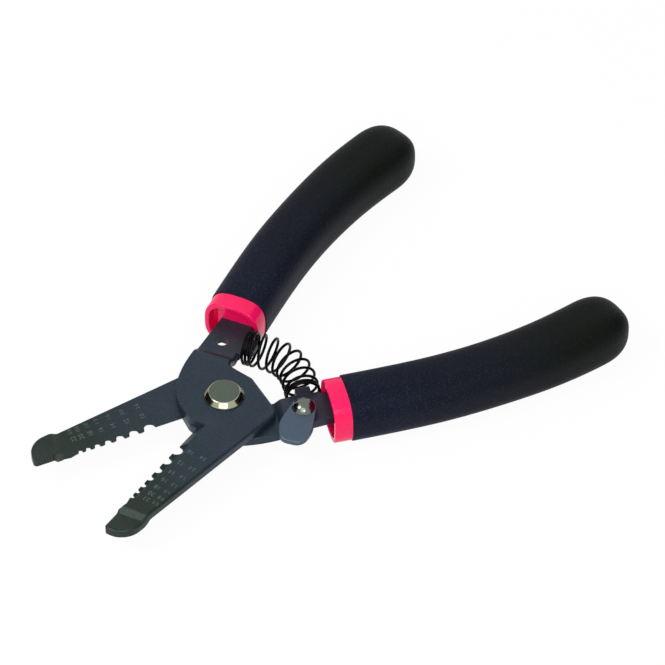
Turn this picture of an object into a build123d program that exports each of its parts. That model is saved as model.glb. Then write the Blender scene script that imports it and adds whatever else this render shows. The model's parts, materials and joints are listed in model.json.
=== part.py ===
from build123d import *
import bisect
import math
import os

os.makedirs("parts", exist_ok=True)

# Sizes that can be chosen freely, in millimetres and degrees. Everything else below follows from them.
# Plan points are given for the closed tool, front half, with the pivot axis at 0, 0 and the jaws towards -Y.
PLATE_T = 2.6  # sheet thickness of both stamped halves
PLATE_GAP = 0.1  # running gap between the two halves
HALF_OPEN = 15.5  # swing of each half from closed to the open pose
JAW_TIP_Y = -53.9  # foremost point of the nose
NOSE_W = 7.5  # width of the nose before its corner is rounded
NOSE_FLAT = 1.5  # what the rounded outer corner leaves of the nose's front
JAW_TAPER = 0.144  # sideways lean of the jaw's outer edge for each millimetre of length
WAIST = ((0.8, -43.2), (1.1, -45.2), (0.65, -46.8))  # hollow between the last notch and the nose
WAIST_START = 1.3  # the blade ends this far below the last notch
BLADE_PAST = 0.35  # how far each blade reaches past the middle when closed
BLADE_LAND = 0.55  # thickness left at the cutting edge
BEVEL_W = 2.4  # width of the ground bevel of the wire cutter
TOOTH_BEVEL_W = 1.25  # the same along the notches
CUTTER_END_Y = -19.6  # end of the straight wire cutter
NOTCH_Y = (-21.4, -25.9, -29.8, -33.2, -36.2, -38.8, -41.0)  # stripping notches, large to small
NOTCH_R = (1.50, 1.20, 1.00, 0.80, 0.66, 0.56, 0.46)  # their radii
SINK_GROW = 1.8  # how much wider the countersink is than its notch at the top face
NOSE_START_Y = -47.6  # where the inner face of the nose begins
SERRATION_N = 6  # grip teeth on the nose
SERRATION_START = 0.4  # plain face before the first tooth
SERRATION_END = 0.9  # plain face after the last tooth
SERRATION_DEPTH = 0.4
NOSE_CLEAR = 0.08  # each nose stops this far from the middle
NOSE_TIP_R = 1.0
NOSE_CHAMFER = 0.55
NOSE_RAMP = 1.9  # run of the joggle behind the nose
NOSE_LAG = 0.8  # its bends in the top face lie this much nearer the nose than those below
TANG_RAMP = 1.8  # run of the joggle in front of the handle
NOSE_BEND = (4.5, -44.9, 8.5)  # point on the nose's bend line and the line's slant
TANG_BEND = (-11.3, 10.4, 12.3)  # the same at the handle
TANG_END_Y = 96.0  # end of the steel inside the grip
TANG_END_X = (-14.0, -21.0)  # its inner and outer corners
TANG_END_R = 2.5
SHOULDER = 3.2  # height of the head's corner beside the pivot
NECK = (2.15, 9.6)  # corner where the head's top meets its slanted side
HEAD_TOP_EDGE = ((-2.0, 9.8), (-5.4, 10.1))  # nearly level top of the head
INNER_EDGE = ((-5.8, 11.6), (-6.5, 15.2), (-7.05, 17.7), (-8.25, 23.7), (-10.6, 31.0), (-12.9, 40.0),
              (-14.9, 52.0), (-15.9, 64.0), (-16.0, 73.0), (-15.6, 83.0))  # towards the other half
OUTER_EDGE = ((-23.3, 83.0), (-23.9, 73.0), (-23.7, 64.0), (-22.8, 52.0), (-21.0, 40.0), (-19.2, 31.0),
              (-17.8, 23.7), (-17.2, 17.7), (-16.75, 13.7), (-16.4, 10.0), (-16.0, 6.6), (-15.3, 2.9),
              (-14.45, 0.0), (-13.4, -2.6), (-12.2, -4.8), (-10.4, -7.1), (-7.9, -9.2), (-5.0, -10.8),
              (-2.5, -11.6))  # handle side away from it and the round boss
BORE_R = 3.0  # pivot bore of the halves
CAP_R = 5.4  # flat-topped pivot cap
CAP_H = 1.75
CAP_RIM = 0.45  # straight rim below the cap's chamfer
CAP_TOP_R = 4.0
STUD_R = 1.7  # stud pressed into the cap's barrel
REAR_HEAD_R = 4.6
REAR_HEAD_H = 1.2
WASHER_T = 0.5
PIVOT_FIT = 0.05  # radial running fit on the barrel
SPARE_R = 1.75  # rivet hole of the lock, left open in the front half
LOCK_XY = (12.75, 17.1)  # lock rivet on the rear half
LOCK_FIT = 0.05
LOCK_WASHER_T = 0.3
LOCK_GAP = 0.05  # air under the rivet's dome
LEVER_T = 1.5
LEVER_HEAD_R = 3.5
LEVER_LEN = 11.9
LEVER_HALF_W = 4.7
LEVER_BEND = 8.0  # downward bend of the thumb end
LEVER_ANGLE = -57.0  # direction of the lever in the open pose
DOME_R = 3.1
DOME_H = 2.0
TAIL_R = 2.7
TAIL_H = 0.9
WIRE_D = 0.78  # spring wire
COIL_R = 4.5  # mean radius of the coil
COIL_TURNS = 12
COIL_END_TURNS = 2.0  # close-wound turns at each end
COIL_AIR = 0.1  # air between the close-wound turns
COIL_BOW = 1.7  # how far the spring's middle bows out past a plain arc
COIL_SEAT = 0.02  # air between the last turn and its seat
SEAT_Y = 19.7  # height of the spring seats along the handles
SEAT_LEAN = 11.3  # lean of the handle's inner edge there
PEG_W = 4.0
PEG_L = 3.0
PAD_W = 8.4  # seat pad at the root of the peg
PAD_H = 0.35
CROTCH_Y = -11.8  # where the blade leaves the round boss
GRIP_HALF_W = 8.2
GRIP_HALF_T = 7.5
GRIP_WALL = 2.0  # outer grip thickness
SECTION_POWER = 2.9  # squareness of the grip section
GRIP_DOME = 8.0  # length of the rounded grip end
COLLAR_L = 4.8  # visible collar of the inner sleeve
COLLAR_WALL = 1.3
COLLAR_INSET = 0.3  # the collar sits this far inside the outer grip
POCKET_LAYER = 1.1  # sleeve left between the steel and the hollow
GRIP_SWELL = 0.55  # the grip grows this much towards its end
COLLAR_DEPTH = 1.4  # recess of the web inside the mouth
POCKET_DEPTH = 3.6  # hollow beside the steel
GRIP_LINE = ((14.3, 23.4), (15.5, 30.0), (17.2, 40.0), (18.9, 52.0), (19.8, 64.0), (19.95, 73.0),
             (19.6, 83.0), (18.5, 93.0), (16.8, 103.0), (15.7, 109.2))

# Derived sizes
HEAD_BOTTOM = PLATE_GAP / 2
HEAD_TOP = HEAD_BOTTOM + PLATE_T
STEP = HEAD_BOTTOM + PLATE_T / 2
TANG_TOP = PLATE_T / 2
BARREL_R = BORE_R - PIVOT_FIT
NOSE_CORNER_R = NOSE_W - NOSE_FLAT
LOCK_SHANK_R = SPARE_R - LOCK_FIT


def outline_sketch():
    """Plan shape of one stamped half."""
    corner = (NOSE_CLEAR + NOSE_W - 0.7, JAW_TIP_Y + 0.8)
    shoulder = (corner[0] + JAW_TAPER * (SHOULDER - corner[1]), SHOULDER)
    crotch = (-BLADE_PAST, CROTCH_Y)
    blade_end = (-BLADE_PAST, NOTCH_Y[-1] - WAIST_START)
    tip = (NOSE_CLEAR, JAW_TIP_Y)
    tang_in = (TANG_END_X[0], TANG_END_Y)
    tang_out = (TANG_END_X[1], TANG_END_Y)
    jaw = Polyline(crotch, blade_end, *WAIST, (NOSE_CLEAR, NOSE_START_Y), tip, corner, shoulder, NECK,
                   *HEAD_TOP_EDGE, INNER_EDGE[0])
    inner = Spline(*INNER_EDGE, tang_in)
    end = Line(tang_in, tang_out)
    outer = Spline(tang_out, *OUTER_EDGE, crotch)
    sketch = make_face(jaw + inner + end + outer)
    for point, radius in ((corner, NOSE_CORNER_R), (tip, NOSE_TIP_R), (shoulder, 2.6), (NECK, 2.0),
                          (HEAD_TOP_EDGE[-1], 1.0), (blade_end, 0.3), (tang_out, TANG_END_R),
                          (tang_in, TANG_END_R)):
        near = sketch.vertices().sort_by_distance((point[0], point[1], 0))[0]
        sketch = fillet(near, radius)
    return sketch


def joggle_sheet(bend, run, lag, sign):
    """Sheet that steps down to the middle plane past a bend line given by a point and a slant."""
    a = math.radians(bend[2])
    d = (-math.sin(a) * sign, math.cos(a) * sign, 0)
    plane = Plane(origin=(bend[0], bend[1], 0), x_dir=d, z_dir=(d[1], -d[0], 0))
    far = 140.0
    top = [(-far, HEAD_TOP), (lag, HEAD_TOP), (lag + run, HEAD_TOP - STEP), (far, HEAD_TOP - STEP)]
    bottom = [(far, -TANG_TOP), (run, -TANG_TOP), (0, HEAD_BOTTOM), (-far, HEAD_BOTTOM)]
    sketch = make_face(Polyline(*top, *bottom, close=True))
    for (x, z), share in ((top[1], 1.2), (top[2], 0.45), (bottom[1], 1.2), (bottom[2], 0.45)):
        near = sketch.vertices().sort_by_distance((x, z, 0))[0]
        sketch = fillet(near, run * share)
    return extrude(plane * sketch, 70, both=True)


def blade_cutter(y, radius):
    """Tool that cuts one stripping notch with its countersink."""
    flare = 3.0
    mouth = radius + flare * math.tan(math.radians(24))
    hole = Pos(0, y, -5) * extrude(Circle(radius) + make_face(Polyline(
        (0, radius), (-flare, mouth), (-flare, -mouth), (0, -radius), close=True)), 12)
    depth = PLATE_T - BLADE_LAND
    sink = Pos(0, y, HEAD_TOP - depth / 2) * Cone(radius, radius + SINK_GROW, depth)
    return hole + sink


def stamped_half():
    """One half: jaw, head and tang from a single sheet, joggled at the nose and at the handle."""
    outline = outline_sketch()
    prism = Pos(0, 0, -10) * extrude(outline, 20)
    room = Box(200, 200, 60, align=(Align.CENTER, Align.MIN, Align.CENTER))
    back = prism & room & joggle_sheet(TANG_BEND, TANG_RAMP, 0, 1)
    front = prism & Pos(0, -200, 0) * room & joggle_sheet(NOSE_BEND, NOSE_RAMP, NOSE_LAG, -1)
    half = back + front
    half += spring_seat()
    half -= Cylinder(BORE_R, 20)
    half -= Pos(-LOCK_XY[0], LOCK_XY[1], 0) * Cylinder(SPARE_R, 20)
    half -= ground_bevel(BEVEL_W, HEAD_BOTTOM + BLADE_LAND * 0.6, CROTCH_Y + 0.3, CUTTER_END_Y - 1.0)
    half -= ground_bevel(TOOTH_BEVEL_W, HEAD_BOTTOM + BLADE_LAND, CUTTER_END_Y, WAIST[0][1])
    for y, radius in zip(NOTCH_Y, NOTCH_R):
        half -= blade_cutter(y, radius)
    half = break_nose_edge(half)
    return half - serrations()


def seat_frame():
    """Location of the spring seat on the front half's inner edge, X along the spring."""
    x, y = INNER_EDGE[2]
    x -= (SEAT_Y - y) * math.tan(math.radians(SEAT_LEAN))
    return Pos(x, SEAT_Y, 0) * Rot(0, 0, SEAT_LEAN)


def break_nose_edge(half):
    """Chamfers the round outer edge of the nose on its top face."""
    level = [e for e in half.edges() if abs(e.center().Z - TANG_TOP) < 0.01 and e.center().Y < -48.5]
    arc = max((e for e in level if e.geom_type == GeomType.CIRCLE), key=lambda e: e.radius)
    return chamfer(arc, NOSE_CHAMFER)


def spring_seat():
    """Pad and peg that hold the end of the spring."""
    middle = (Align.MIN, Align.CENTER, Align.CENTER)
    pad = Pos(-1, 0, 0) * Box(1 + PAD_H, PAD_W, PLATE_T, align=middle)
    peg = Pos(-1, 0, 0) * Box(1 + PAD_H + PEG_L, PEG_W, PLATE_T, align=middle)
    return seat_frame() * (pad + chamfer(peg.faces().sort_by(Axis.X)[-1].edges(), 0.5))


def ground_bevel(width, foot, start, end):
    """Tool that grinds a bevel along the blade, from its cutting edge up to the top face."""
    x0 = -BLADE_PAST
    sketch = make_face(Polyline((x0 + width, HEAD_TOP), (x0, foot), (x0 - 3, foot), (x0 - 3, HEAD_TOP + 1),
                                (x0 + width, HEAD_TOP + 1), close=True))
    plane = Plane(origin=(0, start, 0), x_dir=(1, 0, 0), z_dir=(0, -1, 0))
    return extrude(plane * sketch, start - end)


def serrations():
    """Grip teeth across the inner face of the nose."""
    first = NOSE_START_Y - SERRATION_START
    last = JAW_TIP_Y + SERRATION_END
    pitch = (first - last) / SERRATION_N
    tooth = make_face(Polyline((NOSE_CLEAR - 0.5, pitch * 0.46), (NOSE_CLEAR + SERRATION_DEPTH, 0),
                               (NOSE_CLEAR - 0.5, -pitch * 0.46), close=True))
    cut = Pos(0, first - pitch / 2, -5) * extrude(tooth, 10)
    return Part() + [Pos(0, -pitch * k, 0) * cut for k in range(SERRATION_N)]


def open_front(shape):
    """Swings a front-half piece from the closed frame to the open pose."""
    return Rot(0, 0, HALF_OPEN) * shape


def open_rear(shape):
    """Turns a front-half piece over to make its rear twin, in the open pose."""
    return Rot(0, 0, -HALF_OPEN) * Rot(0, 180, 0) * shape


def pivot_cap():
    """Front cap and the barrel that both halves turn on."""
    profile = Polyline((STUD_R, -HEAD_TOP), (BARREL_R, -HEAD_TOP), (BARREL_R, HEAD_TOP), (CAP_R, HEAD_TOP),
                       (CAP_R, HEAD_TOP + CAP_RIM), (CAP_TOP_R, HEAD_TOP + CAP_H), (0, HEAD_TOP + CAP_H),
                       (0, HEAD_TOP), (STUD_R, HEAD_TOP), close=True)
    return revolve(Plane.XZ * make_face(profile), Axis.Z)


def pivot_pin():
    """Rear head with the stud that is pressed into the barrel."""
    z = -HEAD_TOP - WASHER_T
    profile = Polyline((0, HEAD_TOP - 0.3), (STUD_R, HEAD_TOP - 0.3), (STUD_R, z), (REAR_HEAD_R, z),
                       (REAR_HEAD_R, z - REAR_HEAD_H * 0.45), (REAR_HEAD_R - 0.9, z - REAR_HEAD_H),
                       (0, z - REAR_HEAD_H), close=True)
    return revolve(Plane.XZ * make_face(profile), Axis.Z)


def pivot_washer():
    """Washer between the rear head and the rear half."""
    ring = Circle(REAR_HEAD_R + 0.8) - Circle(STUD_R + 0.1)
    return Pos(0, 0, -HEAD_TOP - WASHER_T) * extrude(ring, WASHER_T)


def lock_place():
    """Lock rivet axis on the rear half in the open pose."""
    return Rot(0, 0, -HALF_OPEN) * Pos(LOCK_XY[0], LOCK_XY[1], 0)


def lock_point():
    """Lock rivet axis as a plan point in the open pose."""
    a = math.radians(-HALF_OPEN)
    x, y = LOCK_XY
    return x * math.cos(a) - y * math.sin(a), x * math.sin(a) + y * math.cos(a)


def lock_rivet():
    """Domed rivet of the lock, its tail spread under the tang."""
    z0 = TANG_TOP + LOCK_WASHER_T + LEVER_T + LOCK_GAP
    ball = (DOME_R ** 2 + DOME_H ** 2) / (2 * DOME_H)
    head = math.asin(DOME_R / ball) * 0.5
    arc = ThreePointArc((DOME_R, z0), (ball * math.sin(head), z0 + DOME_H - ball + ball * math.cos(head)),
                        (0, z0 + DOME_H))
    line = Polyline((0, z0 + DOME_H), (0, -TANG_TOP - TAIL_H), (TAIL_R - 0.6, -TANG_TOP - TAIL_H),
                    (TAIL_R, -TANG_TOP - TAIL_H * 0.5), (TAIL_R, -TANG_TOP), (LOCK_SHANK_R, -TANG_TOP),
                    (LOCK_SHANK_R, z0), (DOME_R, z0))
    return lock_place() * revolve(Plane.XZ * make_face(line + arc), Axis.Z)


def lock_washer():
    """Friction washer between the lever and the tang."""
    ring = Circle(LEVER_HEAD_R - 0.5) - Circle(SPARE_R)
    return lock_place() * Pos(0, 0, TANG_TOP) * extrude(ring, LOCK_WASHER_T)


def lock_lever():
    """Thumb lever of the lock, flared and bent down at its free end."""
    end = LEVER_LEN
    w = LEVER_HALF_W
    lead = 0.35 * LEVER_HEAD_R
    side = math.sqrt(LEVER_HEAD_R ** 2 - lead ** 2)
    face = make_face(Polyline((-lead, side), (end * 0.6, w), (end, w * 0.7), (end, -w * 0.7), (end * 0.6, -w),
                              (-lead, -side), close=True))
    for point, radius in (((end, w * 0.7), w * 0.68), ((end, -w * 0.7), w * 0.68), ((end * 0.6, w), 8.0),
                          ((end * 0.6, -w), 8.0)):
        near = face.vertices().sort_by_distance((point[0], point[1], 0))[0]
        face = fillet(near, radius)
    face = face + Circle(LEVER_HEAD_R)
    bend = end * 0.45
    drop = (end + 2 - bend) * math.tan(math.radians(LEVER_BEND))
    z0 = TANG_TOP + LOCK_WASHER_T
    top = [(-6, z0 + LEVER_T), (bend, z0 + LEVER_T), (end + 2, z0 + LEVER_T - drop)]
    bottom = [(x, z - LEVER_T) for x, z in reversed(top)]
    side_face = make_face(Polyline(*top, *bottom, close=True))
    for x, z in (top[1], bottom[1]):
        near = side_face.vertices().sort_by_distance((x, z, 0))[0]
        side_face = fillet(near, 20.0)
    sheet = extrude(Plane.XZ * side_face, 20, both=True)
    lever = extrude(face, 12) & sheet
    lever -= Cylinder(SPARE_R, 30)
    x, y = lock_point()
    return Pos(x, y, 0) * Rot(0, 0, LEVER_ANGLE) * lever


def spring_line():
    """Function for the bowed spring's centre line in the open pose, from seat to seat."""
    seat = Rot(0, 0, HALF_OPEN) * seat_frame() * Pos(PAD_H, 0, 0)
    x, y = seat.position.X, seat.position.Y
    half = math.radians(HALF_OPEN + SEAT_LEAN)
    radius = -x / math.sin(half)
    centre_y = y - radius * math.cos(half)

    def point(u):
        angle = half * (2 * u - 1)
        r = radius + COIL_BOW * (1 - math.cos(2 * math.pi * u)) / 2
        return Vector(r * math.sin(angle), centre_y + r * math.cos(angle), 0)

    return point


def return_spring():
    """Bowed compression spring between the two seats, close-wound at its ends."""
    line = spring_line()
    grid = 800
    spots = [line(k / grid) for k in range(grid + 1)]
    lengths = [0.0]
    for a, b in zip(spots, spots[1:]):
        lengths.append(lengths[-1] + (b - a).length)
    margin = WIRE_D / 2 + COIL_SEAT
    end_pitch = WIRE_D + COIL_AIR
    open_turns = COIL_TURNS - 2 * COIL_END_TURNS
    rest = lengths[-1] - 2 * margin - 2 * COIL_END_TURNS * end_pitch
    steps = 14
    points = []
    for k in range(COIL_TURNS * steps + 1):
        turn = k / steps
        middle = min(max(turn - COIL_END_TURNS, 0.0), open_turns)
        along = margin + end_pitch * (turn - middle) + rest * ease(middle / open_turns)
        at = min(bisect.bisect(lengths, along), grid) - 1
        u = (at + (along - lengths[at]) / (lengths[at + 1] - lengths[at])) / grid
        across = (line(min(u + 0.001, 1.0)) - line(max(u - 0.001, 0.0))).normalized()
        ring = 2 * math.pi * turn
        out = Vector(-across.Y, across.X, 0) * (COIL_R * math.cos(ring))
        points.append(line(u) + out + Vector(0, 0, COIL_R * math.sin(ring)))
    path = Spline(*points)
    section = Plane(origin=path @ 0, z_dir=path % 0) * RegularPolygon(WIRE_D / 2, 6)
    return sweep(section, path, is_frenet=True)


def ease(t):
    """Blends the coil pitch so the open turns start and stop gently."""
    edge = 0.08
    if t < edge:
        value = t * t / (2 * edge)
    elif t > 1 - edge:
        value = 1 - edge - (1 - t) ** 2 / (2 * edge)
    else:
        value = t - edge / 2
    return value / (1 - edge)


def grip_curve():
    """Centre line of the rear grip in the closed frame."""
    return Spline(*[(x, y, 0) for x, y in GRIP_LINE])


def grip_section(curve, at, grow, shrink):
    """Rounded-square wire across the grip at a distance along its centre line."""
    plane = Plane(origin=curve.position_at(at, position_mode=PositionMode.LENGTH),
                  x_dir=(0, 0, 1), z_dir=curve.tangent_at(at, position_mode=PositionMode.LENGTH))
    part = min(max(at / curve.length - 0.45, 0.0) / 0.45, 1.0)
    swell = GRIP_SWELL * part * part * (3 - 2 * part)
    a = (GRIP_HALF_W + swell + grow) * shrink
    b = (GRIP_HALF_T + swell * 0.6 + grow) * shrink
    n = 20
    points = []
    for k in range(n):
        t = 2 * math.pi * (k + 0.5) / n
        c, s = math.cos(t), math.sin(t)
        e = 2 / SECTION_POWER
        points.append((b * math.copysign(abs(c) ** e, c), a * math.copysign(abs(s) ** e, s)))
    return plane * make_face(Spline(*points, periodic=True))


def grip_body(start, end, grow):
    """Solid that follows the grip's centre line and closes with a dome."""
    curve = grip_curve()
    dome = GRIP_DOME + grow
    sections = []
    straight = end - dome
    for k in range(9):
        sections.append(grip_section(curve, start + (straight - start) * k / 8, grow, 1.0))
    for k in (0.3, 0.55, 0.75, 0.9, 0.98):
        sections.append(grip_section(curve, straight + dome * k, grow, math.sqrt(1 - k * k)))
    return loft(sections)


def grip_and_sleeve():
    """Outer grip and inner sleeve of the rear half, in the closed frame."""
    length = grip_curve().length
    outer = grip_body(COLLAR_L, length, 0.0)
    core = grip_body(0.0, length - GRIP_WALL, -GRIP_WALL)
    grip = outer - core
    collar = loft([grip_section(grip_curve(), COLLAR_L * k / 2, -COLLAR_INSET, 1.0) for k in range(3)])
    lip = -COLLAR_INSET - COLLAR_WALL
    mouth = loft([grip_section(grip_curve(), COLLAR_DEPTH * k - 0.01, lip, 1.0) for k in (0, 1)])
    tang = Rot(0, 180, 0) * stamped_blank()
    sleeve = core + collar - mouth
    sleeve -= tang
    sleeve -= pocket()
    return grip, sleeve


def pocket():
    """Hollow of the sleeve on the outer side of the steel."""
    curve = grip_curve()
    block = loft([grip_section(curve, at, -COLLAR_INSET - COLLAR_WALL, 1.0) for at in (-0.01, POCKET_DEPTH)])
    side = Box(20, 30, 30, align=(Align.MIN, Align.CENTER, Align.CENTER))
    return block & Pos(17.8 + POCKET_LAYER, 23.7, 0) * Rot(0, 0, -8) * side


def stamped_blank():
    """The steel that runs inside the grip, without its holes and teeth."""
    outline = outline_sketch()
    strip = Pos(0, 0, -TANG_TOP) * extrude(outline, PLATE_T)
    return strip & Pos(0, 18, 0) * Box(200, 200, 60, align=(Align.CENTER, Align.MIN, Align.CENTER))


def assembly():
    """Every piece by name in the open pose, pivot axis at 0, 0 and the parting plane at height 0."""
    half = stamped_half()
    grip, sleeve = grip_and_sleeve()
    to_front = Rot(0, 0, HALF_OPEN) * Rot(0, 180, 0)
    to_rear = Rot(0, 0, -HALF_OPEN)
    return {
        "front_plate": open_front(half),
        "rear_plate": open_rear(half),
        "pivot_cap": pivot_cap(),
        "pivot_pin": pivot_pin(),
        "pivot_washer": pivot_washer(),
        "return_spring": return_spring(),
        "lock_lever": lock_lever(),
        "lock_rivet": lock_rivet(),
        "lock_washer": lock_washer(),
        "front_sleeve": to_front * sleeve,
        "rear_sleeve": to_rear * sleeve,
        "front_grip": to_front * grip,
        "rear_grip": to_rear * grip,
    }


pieces = assembly()
box = Compound(children=[Part() + shape for shape in pieces.values()]).bounding_box()
origin = Pos(-(box.min.X + box.max.X) / 2, -(box.min.Y + box.max.Y) / 2, -box.min.Z)
for name, shape in pieces.items():
    solids = (origin * shape).solids()
    export_step(solids[0] if len(solids) == 1 else Compound(children=solids), "parts/" + name + ".step")
    print(name, len(solids), "solid(s)")
print("pivot", origin.position.X, origin.position.Y, origin.position.Z)
print("size", box.size.X, box.size.Y, box.size.Z)
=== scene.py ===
"""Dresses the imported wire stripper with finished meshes, materials, a floor, lamps and a camera."""

import json
import logging
import math
from dataclasses import dataclass
from enum import Enum
from functools import partial
from typing import Any, Callable, Mapping, Sequence

import bmesh
import bpy
import numpy as np
from mathutils import Matrix, Vector

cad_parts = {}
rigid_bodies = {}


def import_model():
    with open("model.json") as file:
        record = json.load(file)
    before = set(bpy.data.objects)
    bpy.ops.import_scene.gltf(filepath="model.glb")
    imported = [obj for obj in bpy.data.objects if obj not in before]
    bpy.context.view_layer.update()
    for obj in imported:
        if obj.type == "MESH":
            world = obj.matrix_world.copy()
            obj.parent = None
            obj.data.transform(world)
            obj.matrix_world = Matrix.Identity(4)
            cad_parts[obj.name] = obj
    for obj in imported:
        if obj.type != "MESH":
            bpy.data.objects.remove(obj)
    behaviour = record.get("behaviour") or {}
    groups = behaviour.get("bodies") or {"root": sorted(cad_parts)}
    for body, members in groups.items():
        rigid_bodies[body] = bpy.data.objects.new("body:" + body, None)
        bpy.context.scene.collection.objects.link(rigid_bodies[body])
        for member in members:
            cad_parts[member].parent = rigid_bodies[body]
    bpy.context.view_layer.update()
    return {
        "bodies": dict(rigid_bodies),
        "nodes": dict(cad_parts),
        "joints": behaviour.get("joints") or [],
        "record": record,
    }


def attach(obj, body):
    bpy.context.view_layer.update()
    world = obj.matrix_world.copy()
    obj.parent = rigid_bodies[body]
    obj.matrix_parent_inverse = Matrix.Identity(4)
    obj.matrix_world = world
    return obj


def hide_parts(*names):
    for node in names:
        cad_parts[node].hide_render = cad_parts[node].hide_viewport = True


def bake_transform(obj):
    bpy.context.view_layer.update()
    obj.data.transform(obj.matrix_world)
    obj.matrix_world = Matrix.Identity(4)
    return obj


LOG = logging.getLogger("wire_stripper")
MM = 0.001
PIVOT = np.array([0.0, -24.741760829401663, 7.983825832114205])
HALF_OPEN = math.radians(15.5)
CAP_FLAT = 4.36  # the cap counts as its flat top from this height over the middle plane
DIGIT_SHARE = 0.7  # height of a digit over the size of its font
MERGED = 2e-6  # corners nearer than this many metres are one corner
FLAT_TURN = 0.1  # faces that turn by less than this many degrees are one face
EDGE_TURN = 32.0  # an edge that turns by more than this many degrees is an edge of the shape

Colour = tuple[float, float, float]
Array = np.ndarray


class Side(Enum):
    """The two halves of the tool, named by which one shows its head on top."""

    FRONT = "front_half"
    REAR = "rear_half"


class Finish(Enum):
    """Finishes: the material's name and the record's slot that it belongs to."""

    STEEL = ("blackened_steel", "blackened_steel")
    # the numbers' material is a lighter copy of the steel: painted highlight on the digits
    NUMBER = ("coined_number", "blackened_steel")
    CAP = ("turned_cap", "nickel")
    NICKEL = ("bright_nickel", "nickel")
    WIRE = ("oiled_wire", "spring_wire")
    LEVER = ("satin_lever", "lever_steel")
    COLLAR = ("collar_plastic", "collar_plastic")
    GRIP = ("grip_rubber", "grip_rubber")

    @property
    def slot(self) -> str:
        """The record's slot."""
        return self.value[1]


def srgb(red: int, green: int, blue: int) -> Colour:
    """Turns a colour written as 0 to 255 into the linear values that shaders take."""
    parts = []
    for value in (red, green, blue):
        v = value / 255
        parts.append(v / 12.92 if v <= 0.04045 else ((v + 0.055) / 1.055) ** 2.4)
    return parts[0], parts[1], parts[2]


class Signal:
    """A shader socket that takes part in Python arithmetic by adding Math nodes."""

    def __init__(self, shader: "Shader", socket: bpy.types.NodeSocket) -> None:
        """Keeps the shader and the output socket that carries the value."""
        self.shader = shader
        self.socket = socket

    def _math(self, operation: str, first: Any, second: Any) -> "Signal":
        """Adds one Math node on two values."""
        return self.shader.node("ShaderNodeMath", {"operation": operation}, {0: first, 1: second})

    def __add__(self, other: Any) -> "Signal":
        """Sum of two values."""
        return self._math("ADD", self, other)

    __radd__ = __add__

    def __sub__(self, other: Any) -> "Signal":
        """Difference of two values."""
        return self._math("SUBTRACT", self, other)

    def __rsub__(self, other: Any) -> "Signal":
        """Difference with the value on the right."""
        return self._math("SUBTRACT", other, self)

    def __mul__(self, other: Any) -> "Signal":
        """Product of two values."""
        return self._math("MULTIPLY", self, other)

    __rmul__ = __mul__

    def __truediv__(self, other: Any) -> "Signal":
        """Quotient of two values."""
        return self._math("DIVIDE", self, other)

    def __gt__(self, other: Any) -> "Signal":
        """One where the value is larger, else nought."""
        return self._math("GREATER_THAN", self, other)


class Shader:
    """One material's node tree, built by a single generic method."""

    def __init__(self, name: str) -> None:
        """Makes an empty material with an output node."""
        self.material = bpy.data.materials.new(name)
        self.material.use_nodes = True
        self.tree = self.material.node_tree
        self.tree.nodes.clear()
        self.output = self.tree.nodes.new("ShaderNodeOutputMaterial")

    def node(
        self,
        kind: str,
        settings: Mapping[str, Any] | None = None,
        inputs: Mapping[str | int, Any] | None = None,
        output: str | int = 0,
    ) -> Signal:
        """Adds a node, sets its options and then its sockets.

        Args:
            kind: Blender's node type.
            settings: Options set before the sockets.
            inputs: Values or signals by socket name or number.
            output: Which output the result carries.

        Returns:
            The chosen output as a signal.
        """
        made = self.tree.nodes.new(kind)
        for key, value in (settings or {}).items():
            if key == "stops":
                self._ramp(made, value)
            else:
                setattr(made, key, value)
        for key, value in (inputs or {}).items():
            socket = made.inputs[key]
            if isinstance(value, Signal):
                self.tree.links.new(value.socket, socket)
            elif isinstance(value, tuple) and len(value) == 3 and socket.type == "RGBA":
                socket.default_value = (*value, 1.0)
            else:
                socket.default_value = value
        return Signal(self, made.outputs[output])

    @staticmethod
    def _ramp(made: bpy.types.Node, stops: Sequence[tuple[float, float]]) -> None:
        """Gives a colour ramp grey stops of position and level."""
        elements = made.color_ramp.elements
        while len(elements) > 1:
            elements.remove(elements[-1])
        for k, (position, level) in enumerate(stops):
            element = elements[0] if k == 0 else elements.new(position)
            element.position = position
            element.color = (level, level, level, 1.0)

    def place(self, turn: float = 0.0, stretch: tuple[float, float, float] = (1, 1, 1)) -> Signal:
        """Object coordinates, turned about Z and stretched."""
        where = self.node("ShaderNodeTexCoord", output="Object")
        return self.node(
            "ShaderNodeMapping",
            inputs={"Vector": where, "Rotation": (0.0, 0.0, turn), "Scale": stretch},
        )

    def noise(self, where: Signal, size: float, detail: float = 2.0, rough: float = 0.5) -> Signal:
        """Soft noise whose grains are about the given size in metres."""
        return self.node(
            "ShaderNodeTexNoise",
            inputs={"Vector": where, "Scale": 1 / size, "Detail": detail, "Roughness": rough},
        )

    def ramp(self, value: Signal, *stops: tuple[float, float]) -> Signal:
        """Maps a value through grey stops."""
        return self.node("ShaderNodeValToRGB", {"stops": stops}, {"Fac": value})

    def span(self, value: Signal, low: float, high: float) -> Signal:
        """Nought where the value is at low, one where it is at high, even between."""
        return self.node("ShaderNodeMapRange", inputs={0: value, 1: low, 2: high, 3: 0.0, 4: 1.0})

    def mix(self, share: Any, first: Any, second: Any) -> Signal:
        """Blends two colours."""
        return self.node(
            "ShaderNodeMix", {"data_type": "RGBA"}, {0: share, 6: first, 7: second}, output=2
        )

    def bump(self, height: Signal, depth: float, strength: float = 1.0) -> Signal:
        """Normal from a height signal whose full swing is the given depth in metres."""
        return self.node(
            "ShaderNodeBump", inputs={"Height": height, "Distance": depth, "Strength": strength}
        )

    def surface(self, **sockets: Any) -> bpy.types.Material:
        """Closes the tree with a Principled surface.

        Args:
            **sockets: Socket names with underscores for spaces.

        Returns:
            The finished material.
        """
        named = {key.replace("_", " "): value for key, value in sockets.items()}
        shade = self.node("ShaderNodeBsdfPrincipled", inputs=named)
        self.tree.links.new(shade.socket, self.output.inputs["Surface"])
        return self.material


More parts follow.
